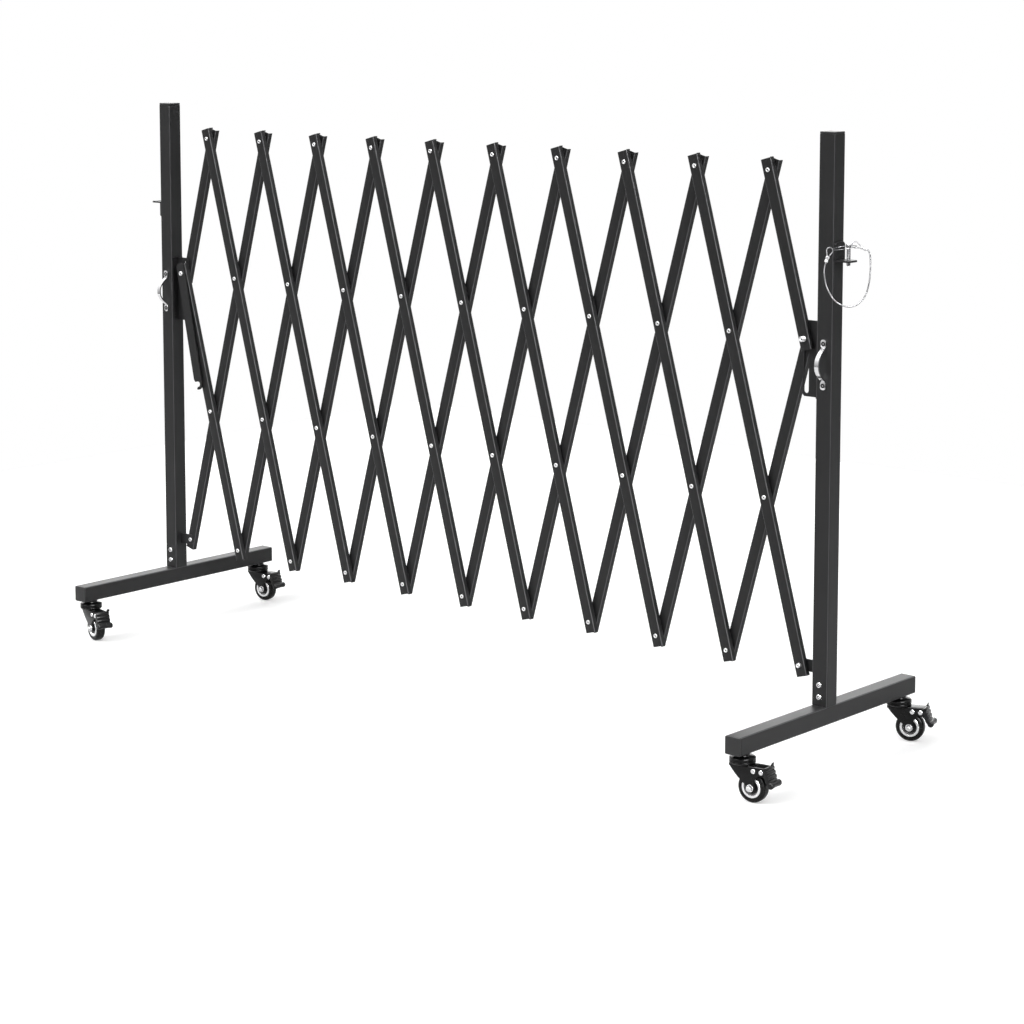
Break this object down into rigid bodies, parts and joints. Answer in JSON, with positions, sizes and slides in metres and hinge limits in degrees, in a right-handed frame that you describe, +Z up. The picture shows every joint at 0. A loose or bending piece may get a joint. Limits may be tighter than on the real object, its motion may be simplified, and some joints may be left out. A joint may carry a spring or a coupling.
{
  "type": "expandable safety barrier",
  "caption": "Folding scissor-lattice safety barrier between two square posts on T feet with braked swivel casters, handles, hook arm and tethered lock pin.",
  "frame": {"origin": "on the floor, under the middle of the barrier's length and depth as it stands part open", "axes": "+X along the barrier from the post with the hook arm to the post with the lock pin, +Y to the back, away from the handles, +Z up"},
  "size_m": [2.1576, 0.6531, 1.326],
  "materials": {
    "frame_paint": "satin black powder coat",
    "lattice_paint": "satin black powder coat",
    "bracket_paint": "satin black paint",
    "caster_paint": "gloss black paint",
    "cap_plastic": "moulded black",
    "pedal_plastic": "moulded black, ribbed",
    "wheel_rubber": "smooth black",
    "handle_steel": "bright plated",
    "pin_steel": "zinc plated",
    "cable": "stranded, bright"
  },
  "bodies": {
    "left_post": {"left_post": "frame_paint", "left_post_cap": "cap_plastic", "left_foot": "frame_paint", "left_foot_cap_front": "cap_plastic", "left_foot_cap_rear": "cap_plastic", "left_slot_bracket": "bracket_paint", "left_handle": "handle_steel", "left_link_bracket": "frame_paint", "caster_cap_front_left": "caster_paint", "caster_cap_rear_left": "caster_paint"},
    "right_post": {"right_post": "frame_paint", "right_post_cap": "cap_plastic", "right_foot": "frame_paint", "right_foot_cap_front": "cap_plastic", "right_foot_cap_rear": "cap_plastic", "right_slot_bracket": "bracket_paint", "right_handle": "handle_steel", "right_link_bracket": "frame_paint", "caster_cap_front_right": "caster_paint", "caster_cap_rear_right": "caster_paint"},
    "front_bar_00": {"front_bar_00": "lattice_paint"},
    "front_bar_01": {"front_bar_01": "lattice_paint"},
    "front_bar_02": {"front_bar_02": "lattice_paint"},
    "front_bar_03": {"front_bar_03": "lattice_paint"},
    "front_bar_04": {"front_bar_04": "lattice_paint"},
    "front_bar_05": {"front_bar_05": "lattice_paint"},
    "front_bar_06": {"front_bar_06": "lattice_paint"},
    "front_bar_07": {"front_bar_07": "lattice_paint"},
    "front_bar_08": {"front_bar_08": "lattice_paint"},
    "front_bar_09": {"front_bar_09": "lattice_paint"},
    "front_bar_10": {"front_bar_10": "lattice_paint"},
    "back_bar_01": {"back_bar_01": "lattice_paint"},
    "back_bar_02": {"back_bar_02": "lattice_paint"},
    "back_bar_03": {"back_bar_03": "lattice_paint"},
    "back_bar_04": {"back_bar_04": "lattice_paint"},
    "back_bar_05": {"back_bar_05": "lattice_paint"},
    "back_bar_06": {"back_bar_06": "lattice_paint"},
    "back_bar_07": {"back_bar_07": "lattice_paint"},
    "back_bar_08": {"back_bar_08": "lattice_paint"},
    "back_bar_09": {"back_bar_09": "lattice_paint"},
    "back_bar_10": {"back_bar_10": "lattice_paint"},
    "back_bar_11": {"back_bar_11": "lattice_paint"},
    "hook_arm": {"hook_arm": "bracket_paint"},
    "lock_pin": {"lock_pin": "pin_steel", "split_ring": "pin_steel", "lanyard_cable": "cable", "lanyard_end_front": "pin_steel", "lanyard_end_pin": "pin_steel"},
    "caster_fork_front_left": {"caster_fork_front_left": "caster_paint"},
    "caster_wheel_front_left": {"caster_wheel_front_left": "wheel_rubber"},
    "caster_pedal_front_left": {"caster_pedal_front_left": "pedal_plastic"},
    "caster_fork_rear_left": {"caster_fork_rear_left": "caster_paint"},
    "caster_wheel_rear_left": {"caster_wheel_rear_left": "wheel_rubber"},
    "caster_pedal_rear_left": {"caster_pedal_rear_left": "pedal_plastic"},
    "caster_fork_front_right": {"caster_fork_front_right": "caster_paint"},
    "caster_wheel_front_right": {"caster_wheel_front_right": "wheel_rubber"},
    "caster_pedal_front_right": {"caster_pedal_front_right": "pedal_plastic"},
    "caster_fork_rear_right": {"caster_fork_rear_right": "caster_paint"},
    "caster_wheel_rear_right": {"caster_wheel_rear_right": "wheel_rubber"},
    "caster_pedal_rear_right": {"caster_pedal_rear_right": "pedal_plastic"}
  },
  "joints": [
    {"name": "fold", "type": "hinge", "parent": "left_post", "child": "back_bar_02", "pos_m": [-0.962, 0, 0.2125], "axis": [0, 1, 0], "range_deg": [-13.2, 20.17]},
    {"name": "front_bar_02_pivot", "type": "hinge", "parent": "back_bar_02", "child": "front_bar_02", "pos_m": [-0.677, 0, 1.24177], "axis": [0, 1, 0], "range_deg": [-40.4, 26.45]},
    {"name": "back_bar_05_pivot", "type": "hinge", "parent": "front_bar_02", "child": "back_bar_05", "pos_m": [-0.392, 0, 0.2125], "axis": [0, 1, 0], "range_deg": [-26.45, 40.4]},
    {"name": "front_bar_05_pivot", "type": "hinge", "parent": "back_bar_05", "child": "front_bar_05", "pos_m": [-0.107, 0, 1.24177], "axis": [0, 1, 0], "range_deg": [-40.4, 26.45]},
    {"name": "back_bar_08_pivot", "type": "hinge", "parent": "front_bar_05", "child": "back_bar_08", "pos_m": [0.178, 0, 0.2125], "axis": [0, 1, 0], "range_deg": [-26.45, 40.4]},
    {"name": "front_bar_08_pivot", "type": "hinge", "parent": "back_bar_08", "child": "front_bar_08", "pos_m": [0.463, 0, 1.24177], "axis": [0, 1, 0], "range_deg": [-40.4, 26.45]},
    {"name": "back_bar_11_pivot", "type": "hinge", "parent": "front_bar_08", "child": "back_bar_11", "pos_m": [0.748, 0, 0.2125], "axis": [0, 1, 0], "range_deg": [-26.45, 40.4]},
    {"name": "front_bar_09_pivot", "type": "hinge", "parent": "back_bar_11", "child": "front_bar_09", "pos_m": [0.843, 0, 0.55559], "axis": [0, 1, 0], "range_deg": [-40.4, 26.45]},
    {"name": "right_post_pivot", "type": "hinge", "parent": "front_bar_09", "child": "right_post", "pos_m": [0.938, 0, 0.2125], "axis": [0, 1, 0], "range_deg": [-13.25, 20.2]},
    {"name": "front_bar_00_pivot", "type": "hinge", "parent": "back_bar_02", "child": "front_bar_00", "pos_m": [-0.867, 0, 0.55559], "axis": [0, 1, 0], "range_deg": [-40.4, 26.45]},
    {"name": "back_bar_01_pivot", "type": "hinge", "parent": "front_bar_00", "child": "back_bar_01", "pos_m": [-0.962, 0, 0.89868], "axis": [0, 1, 0], "range_deg": [-26.45, 40.4]},
    {"name": "front_bar_01_pivot", "type": "hinge", "parent": "back_bar_02", "child": "front_bar_01", "pos_m": [-0.772, 0, 0.89868], "axis": [0, 1, 0], "range_deg": [-40.4, 26.45]},
    {"name": "back_bar_03_pivot", "type": "hinge", "parent": "front_bar_02", "child": "back_bar_03", "pos_m": [-0.582, 0, 0.89868], "axis": [0, 1, 0], "range_deg": [-26.45, 40.4]},
    {"name": "back_bar_04_pivot", "type": "hinge", "parent": "front_bar_02", "child": "back_bar_04", "pos_m": [-0.487, 0, 0.55559], "axis": [0, 1, 0], "range_deg": [-26.45, 40.4]},
    {"name": "front_bar_03_pivot", "type": "hinge", "parent": "back_bar_05", "child": "front_bar_03", "pos_m": [-0.297, 0, 0.55559], "axis": [0, 1, 0], "range_deg": [-40.4, 26.45]},
    {"name": "front_bar_04_pivot", "type": "hinge", "parent": "back_bar_05", "child": "front_bar_04", "pos_m": [-0.202, 0, 0.89868], "axis": [0, 1, 0], "range_deg": [-40.4, 26.45]},
    {"name": "back_bar_06_pivot", "type": "hinge", "parent": "front_bar_05", "child": "back_bar_06", "pos_m": [-0.012, 0, 0.89868], "axis": [0, 1, 0], "range_deg": [-26.45, 40.4]},
    {"name": "back_bar_07_pivot", "type": "hinge", "parent": "front_bar_05", "child": "back_bar_07", "pos_m": [0.083, 0, 0.55559], "axis": [0, 1, 0], "range_deg": [-26.45, 40.4]},
    {"name": "front_bar_06_pivot", "type": "hinge", "parent": "back_bar_08", "child": "front_bar_06", "pos_m": [0.273, 0, 0.55559], "axis": [0, 1, 0], "range_deg": [-40.4, 26.45]},
    {"name": "front_bar_07_pivot", "type": "hinge", "parent": "back_bar_08", "child": "front_bar_07", "pos_m": [0.368, 0, 0.89868], "axis": [0, 1, 0], "range_deg": [-40.4, 26.45]},
    {"name": "back_bar_09_pivot", "type": "hinge", "parent": "front_bar_08", "child": "back_bar_09", "pos_m": [0.558, 0, 0.89868], "axis": [0, 1, 0], "range_deg": [-26.45, 40.4]},
    {"name": "back_bar_10_pivot", "type": "hinge", "parent": "front_bar_08", "child": "back_bar_10", "pos_m": [0.653, 0, 0.55559], "axis": [0, 1, 0], "range_deg": [-26.45, 40.4]},
    {"name": "front_bar_10_pivot", "type": "hinge", "parent": "back_bar_11", "child": "front_bar_10", "pos_m": [0.938, 0, 0.89868], "axis": [0, 1, 0], "range_deg": [-40.4, 26.45]},
    {"name": "hook_pivot", "type": "hinge", "parent": "front_bar_00", "child": "hook_arm", "pos_m": [-0.962, 0, 0.89868], "axis": [0, -1, 0], "range_deg": [-3, 92]},
    {"name": "lock_pin_lift", "type": "slide", "parent": "right_post", "child": "lock_pin", "axis": [0, 0, 1], "range_m": [0, 0.045]},
    {"name": "swivel_front_left", "type": "hinge", "parent": "left_post", "child": "caster_fork_front_left", "pos_m": [-1.017, -0.285, 0.098], "axis": [0, 0, 1], "continuous": true},
    {"name": "roll_front_left", "type": "hinge", "parent": "caster_fork_front_left", "child": "caster_wheel_front_left", "pos_m": [-0.99172, -0.29107, 0.0315], "axis": [0.2334, 0.9724, 0], "continuous": true},
    {"name": "brake_front_left", "type": "hinge", "parent": "caster_fork_front_left", "child": "caster_pedal_front_left", "pos_m": [-0.96789, -0.29679, 0.067], "axis": [0.2334, 0.9724, 0], "range_deg": [0, 12]},
    {"name": "swivel_rear_left", "type": "hinge", "parent": "left_post", "child": "caster_fork_rear_left", "pos_m": [-1.017, 0.285, 0.098], "axis": [0, 0, 1], "continuous": true},
    {"name": "roll_rear_left", "type": "hinge", "parent": "caster_fork_rear_left", "child": "caster_wheel_rear_left", "pos_m": [-0.9911, 0.28727, 0.0315], "axis": [-0.0872, 0.9962, 0], "continuous": true},
    {"name": "brake_rear_left", "type": "hinge", "parent": "caster_fork_rear_left", "child": "caster_pedal_rear_left", "pos_m": [-0.96669, 0.2894, 0.067], "axis": [-0.0872, 0.9962, 0], "range_deg": [0, 12]},
    {"name": "swivel_front_right", "type": "hinge", "parent": "right_post", "child": "caster_fork_front_right", "pos_m": [0.993, -0.285, 0.098], "axis": [0, 0, 1], "continuous": true},
    {"name": "roll_front_right", "type": "hinge", "parent": "caster_fork_front_right", "child": "caster_wheel_front_right", "pos_m": [1.01886, -0.28228, 0.0315], "axis": [-0.1045, 0.9945, 0], "continuous": true},
    {"name": "brake_front_right", "type": "hinge", "parent": "caster_fork_front_right", "child": "caster_pedal_front_right", "pos_m": [1.04322, -0.27972, 0.067], "axis": [-0.1045, 0.9945, 0], "range_deg": [0, 12]},
    {"name": "swivel_rear_right", "type": "hinge", "parent": "right_post", "child": "caster_fork_rear_right", "pos_m": [0.993, 0.285, 0.098], "axis": [0, 0, 1], "continuous": true},
    {"name": "roll_rear_right", "type": "hinge", "parent": "caster_fork_rear_right", "child": "caster_wheel_rear_right", "pos_m": [1.01758, 0.29346, 0.0315], "axis": [-0.3256, 0.9455, 0], "continuous": true},
    {"name": "brake_rear_right", "type": "hinge", "parent": "caster_fork_rear_right", "child": "caster_pedal_rear_right", "pos_m": [1.04075, 0.30144, 0.067], "axis": [-0.3256, 0.9455, 0], "range_deg": [0, 12]}
  ],
  "couplings": [
    {"joint": "front_bar_02_pivot", "follows": "fold", "ratio": -2},
    {"joint": "back_bar_05_pivot", "follows": "fold", "ratio": 2},
    {"joint": "front_bar_05_pivot", "follows": "fold", "ratio": -2},
    {"joint": "back_bar_08_pivot", "follows": "fold", "ratio": 2},
    {"joint": "front_bar_08_pivot", "follows": "fold", "ratio": -2},
    {"joint": "back_bar_11_pivot", "follows": "fold", "ratio": 2},
    {"joint": "front_bar_09_pivot", "follows": "fold", "ratio": -2},
    {"joint": "right_post_pivot", "follows": "fold", "ratio": 1},
    {"joint": "front_bar_00_pivot", "follows": "fold", "ratio": -2},
    {"joint": "back_bar_01_pivot", "follows": "fold", "ratio": 2},
    {"joint": "front_bar_01_pivot", "follows": "fold", "ratio": -2},
    {"joint": "back_bar_03_pivot", "follows": "fold", "ratio": 2},
    {"joint": "back_bar_04_pivot", "follows": "fold", "ratio": 2},
    {"joint": "front_bar_03_pivot", "follows": "fold", "ratio": -2},
    {"joint": "front_bar_04_pivot", "follows": "fold", "ratio": -2},
    {"joint": "back_bar_06_pivot", "follows": "fold", "ratio": 2},
    {"joint": "back_bar_07_pivot", "follows": "fold", "ratio": 2},
    {"joint": "front_bar_06_pivot", "follows": "fold", "ratio": -2},
    {"joint": "front_bar_07_pivot", "follows": "fold", "ratio": -2},
    {"joint": "back_bar_09_pivot", "follows": "fold", "ratio": 2},
    {"joint": "back_bar_10_pivot", "follows": "fold", "ratio": 2},
    {"joint": "front_bar_10_pivot", "follows": "fold", "ratio": -2}
  ]
}
